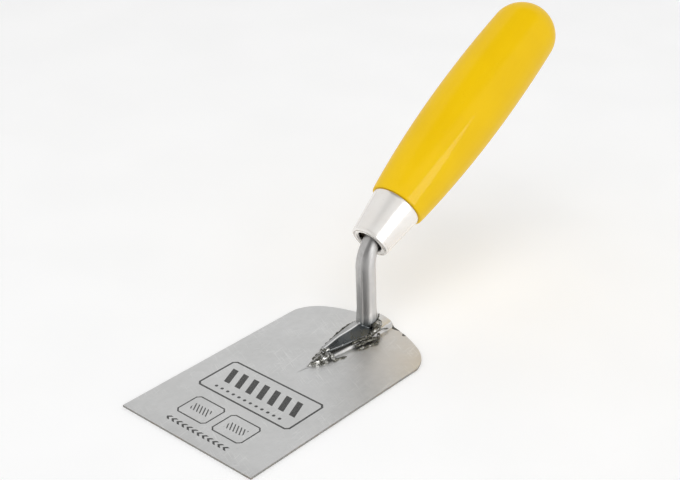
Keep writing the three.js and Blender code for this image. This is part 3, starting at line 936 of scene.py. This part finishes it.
# A weld is a few runs, each a list of stops (x, y, z, radius), and some lumps strewn round them.
WELDS = {
    "weld_tip": {
        "runs": [
            [(0.6, 41.5, 0.9, 0.35), (0.9, 43.6, 1.3, 0.9), (1.6, 46.6, 1.9, 1.6), (2.2, 50, 2.4, 2.2),
             (2.6, 53, 2.7, 2.2)],
            [(-0.5, 47.5, 2.3, 0.9), (-0.5, 51, 3.4, 1.1), (0.4, 54, 4.3, 1.2), (1.4, 56, 4.6, 0.9)],
            [(4, 47.4, 1.1, 0.5), (5, 50.5, 1.1, 0.6)],
        ],
        "lumps": 7,
    },
    "weld_right_front": {
        "runs": [
            [(3, 55, 3.2, 1.2), (5.2, 54.3, 2.1, 1.1), (6.5, 54.7, 1.4, 0.9), (7.5, 57.4, 1.2, 0.75),
             (8.5, 60.9, 1.05, 0.4)],
        ],
        "lumps": 2,
    },
    "weld_right_rear": {
        "runs": [
            [(5.7, 69.6, 3.5, 0.8), (6.7, 75.5, 3.6, 1), (7.6, 81, 3.6, 1.1)],
            [(7.3, 69.1, 2.5, 0.7), (8.4, 74.5, 2.6, 1), (9.6, 80.4, 2.7, 1.1)],
            [(8.9, 68.8, 1.4, 0.55), (10.2, 73.8, 1.5, 0.8), (11.9, 79.2, 1.4, 0.75)],
            [(11.9, 79.2, 1.4, 0.75), (11, 81.4, 2.3, 0.8), (9.6, 83.6, 3.5, 0.9)],
        ],
        "lumps": 4,
    },
    "weld_left": {
        "runs": [
            [(-3.2, 57, 3.1, 0.55), (-6, 70, 3.1, 0.6), (-7.4, 80, 3.2, 0.65), (-6.4, 84.5, 3.6, 0.7)],
        ],
        "lumps": 10,
    },
    "weld_heel": {
        "runs": [
            [(7.2, 81.2, 4.2, 1.4), (7, 84.8, 5, 1.8), (5.8, 87.8, 5.4, 1.9), (3.6, 90.4, 5.2, 1.7),
             (0, 91.8, 5, 1.5), (-4.6, 90.2, 4.4, 1.2), (-6.2, 87.2, 3.6, 0.9)],
            [(5.8, 84.4, 6.4, 1.3), (5.3, 87, 7.6, 0.9), (4.9, 88.8, 9, 0.6), (4.6, 89.4, 10.3, 0.3)],
            [(7.2, 86.2, 4.1, 1), (7.7, 88.6, 3.4, 0.5), (8.3, 92.5, 2.2, 0.25)],
        ],
        "lumps": 8,
    },
}
BEAD_STEP = 0.35
WELD_SEED = 11


def beads_along(run):
    """Points and radii every BEAD_STEP along a run, as arrays of x, y, z and radius."""
    stops = np.array(run, float)
    for first, second in zip(stops, stops[1:]):
        count = max(int(np.linalg.norm(second[:3] - first[:3]) / BEAD_STEP), 1)
        for step in range(count):
            yield first + (second - first) * step / count
    yield stops[-1]


def add_lump(points, faces, centre, radii, turn):
    """One closed, slightly squashed ball, sunk later into its neighbours by the remesh."""
    rings, segments = 7, 12
    start = len(points)
    for ring in range(1, rings):
        polar = math.pi * ring / rings
        for i in range(segments):
            angle = 2 * math.pi * i / segments
            flat = math.sin(polar)
            spoke = Vector((flat * math.cos(angle), flat * math.sin(angle), math.cos(polar)))
            points.append(centre + turn @ Vector(a * b for a, b in zip(spoke, radii)))
    for ring in range(rings - 2):
        for i in range(segments):
            a, b = start + ring * segments + i, start + ring * segments + (i + 1) % segments
            faces.append((a, a + segments, b + segments, b))
    for ring, pole in ((0, Vector((0, 0, radii[2]))), (rings - 2, Vector((0, 0, -radii[2])))):
        hub = len(points)
        points.append(centre + turn @ pole)
        for i in range(segments):
            a, b = start + ring * segments + i, start + ring * segments + (i + 1) % segments
            faces.append((hub, a, b) if ring == 0 else (hub, b, a))


def build_weld(name, runs, lumps, draw):
    beads = [bead for run in runs for bead in beads_along(run)]
    points, faces = [], []
    for x, y, z, radius in beads:
        size = radius * draw.uniform(0.9, 1.0)
        add_lump(points, faces, Vector((x, y, z)), (size, size, size * 0.9), Matrix.Identity(3))
    for _ in range(lumps):
        x, y, z, radius = draw.choice(beads)
        aside = Vector(draw.uniform(-1, 1) for _ in range(3)) * (radius * 0.7)
        size = radius * draw.uniform(0.4, 0.65)
        turn = Matrix.Rotation(draw.uniform(0, math.pi), 3, "X")
        add_lump(points, faces, Vector((x, y, z)) + aside, (size, size * 1.4, size * 0.8), turn)
    piece = make_piece(name + "_bead", points, faces)
    fuse(piece, voxel=0.16, smoothing=5)
    roughen(piece, (2.4, 0.5), plates=(2, 0.55))
    soften(piece, 2)

    # The run's underside ends inside the sheet that it is fused to.
    for vertex in piece.data.vertices:
        x, y, z = vertex.co / MM
        vertex.co.z = max(z, rib_z(x, y) + 0.5 * BLADE_THICKNESS) * MM
    piece.data.update()
    shade(piece, 180)
    piece.data.materials.append(WELD_LOOK)
    return piece


# ------------------------------------------------------------------------------------ studio

CAMERA_AZIMUTH = math.radians(41.302)
CAMERA_ELEVATION = math.radians(27.290)
CAMERA_PLACE = Vector((0.35996, -0.34365, 0.33947))
LENS = 70.835
SENSOR = 36
FLOOR_SIZE = 8
FLOOR_DROP = 0.0002
FLOOR_GLOW = 0.14

# The studio is a white tent with two dark openings, one overhead and one round the camera. Each is its
# direction, the cosines from its centre at which it starts and is full, and how dark it is.
TENT_WHITE = 1.0
OPENINGS = (
    (Vector((0.063, 0.180, 0.980)), 0.79, 0.92, 0.88),
    (Vector((0.587, -0.668, 0.459)), 0.90, 0.98, 0.85),
)


def add_camera():
    right = Vector((math.cos(CAMERA_AZIMUTH), math.sin(CAMERA_AZIMUTH), 0))
    level = Vector((math.sin(CAMERA_AZIMUTH), -math.cos(CAMERA_AZIMUTH), 0))
    back = level * math.cos(CAMERA_ELEVATION) + Vector((0, 0, math.sin(CAMERA_ELEVATION)))
    up = back.cross(right)
    data = bpy.data.cameras.new("camera")
    data.lens = LENS
    data.sensor_width = SENSOR
    data.sensor_fit = "HORIZONTAL"
    data.clip_start, data.clip_end = 0.01, 50
    camera = bpy.data.objects.new("camera", data)
    bpy.context.scene.collection.objects.link(camera)
    turn = Matrix((right, up, back)).transposed().to_4x4()
    camera.matrix_world = Matrix.Translation(CAMERA_PLACE) @ turn
    bpy.context.scene.camera = camera


def add_softbox(name, direction, distance, size, radiance, lighting=True, reflected=True):
    """A rectangular lamp of a given radiance, size = (across, upright) in metres, aimed at the trowel."""
    target = (cad_low + cad_high) / 2
    data = bpy.data.lights.new(name, "AREA")
    data.shape = "RECTANGLE"
    data.size, data.size_y = size
    data.energy = radiance * math.pi * size[0] * size[1]
    lamp = bpy.data.objects.new(name, data)
    bpy.context.scene.collection.objects.link(lamp)
    away = Vector(direction).normalized()
    lamp.location = target + away * distance
    lamp.rotation_mode = "QUATERNION"
    lamp.rotation_quaternion = (-away).to_track_quat("-Z", "Y")
    lamp.visible_glossy = reflected
    lamp.visible_diffuse = lighting
    lamp.visible_camera = False


def add_tent():
    world = bpy.data.worlds.new("tent")
    bpy.context.scene.world = world
    world.use_nodes = True
    tree = world.node_tree
    tree.nodes.clear()

    def node(kind):
        return tree.nodes.new(kind)

    ray = node("ShaderNodeTexCoord").outputs["Generated"]
    wall = None
    for direction, low, high, depth in OPENINGS:
        facing = node("ShaderNodeVectorMath")
        facing.operation = "DOT_PRODUCT"
        facing.inputs[1].default_value = direction.normalized()
        tree.links.new(ray, facing.inputs[0])
        dim = node("ShaderNodeMapRange")
        dim.interpolation_type = "SMOOTHSTEP"
        for key, number in (("From Min", low), ("From Max", high), ("To Min", 1), ("To Max", 1 - depth)):
            dim.inputs[key].default_value = number
        tree.links.new(facing.outputs["Value"], dim.inputs["Value"])
        joined = node("ShaderNodeMath")
        joined.operation = "MULTIPLY"
        joined.inputs[0].default_value = TENT_WHITE
        if wall is not None:
            tree.links.new(wall, joined.inputs[0])
        tree.links.new(dim.outputs[0], joined.inputs[1])
        wall = joined.outputs[0]
    seen = node("ShaderNodeMix")
    seen.data_type = "FLOAT"
    seen.inputs[3].default_value = TENT_WHITE
    tree.links.new(node("ShaderNodeLightPath").outputs["Is Camera Ray"], seen.inputs[0])
    tree.links.new(wall, seen.inputs[2])
    background = node("ShaderNodeBackground")
    tree.links.new(seen.outputs[0], background.inputs["Strength"])
    tree.links.new(background.outputs[0], node("ShaderNodeOutputWorld").inputs["Surface"])


def add_floor():
    half = FLOOR_SIZE / 2 / MM
    steps = 4
    ticks = np.linspace(-half, half, steps + 1)
    points = [(x, y, -FLOOR_DROP / MM) for y in ticks for x in ticks]
    faces = []
    for row in range(steps):
        for column in range(steps):
            a = row * (steps + 1) + column
            faces.append((a, a + 1, a + steps + 2, a + steps + 1))
    floor = make_piece("floor", points, faces)
    floor.data.materials.append(paper_floor())


# ------------------------------------------------------------------------------------ assembly

add_camera()
add_tent()
add_floor()
add_softbox("fill", (0.35, -0.35, 0.87), 3.2, (2.8, 2.8), 1.95, reflected=False)
add_softbox("window", (0.951, -0.1, 0.292), 2.5, (1.42, 1.5), 4.0, lighting=False)

pieces = {
    "blade": (build_blade(), "blade_steel"),
    "tang": (build_tang(), "forged_steel"),
    "ferrule": (build_ferrule(), "nickel"),
    "handle": (build_handle(), "lacquered_wood"),
}
draw = random.Random(WELD_SEED)
for node, weld in WELDS.items():
    pieces[node] = (build_weld(node, **weld, draw=draw), "weld_metal")
for node, (piece, slot) in pieces.items():
    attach(piece, BODY)
    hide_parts(node)

bpy.context.scene.view_settings.view_transform = "Standard"
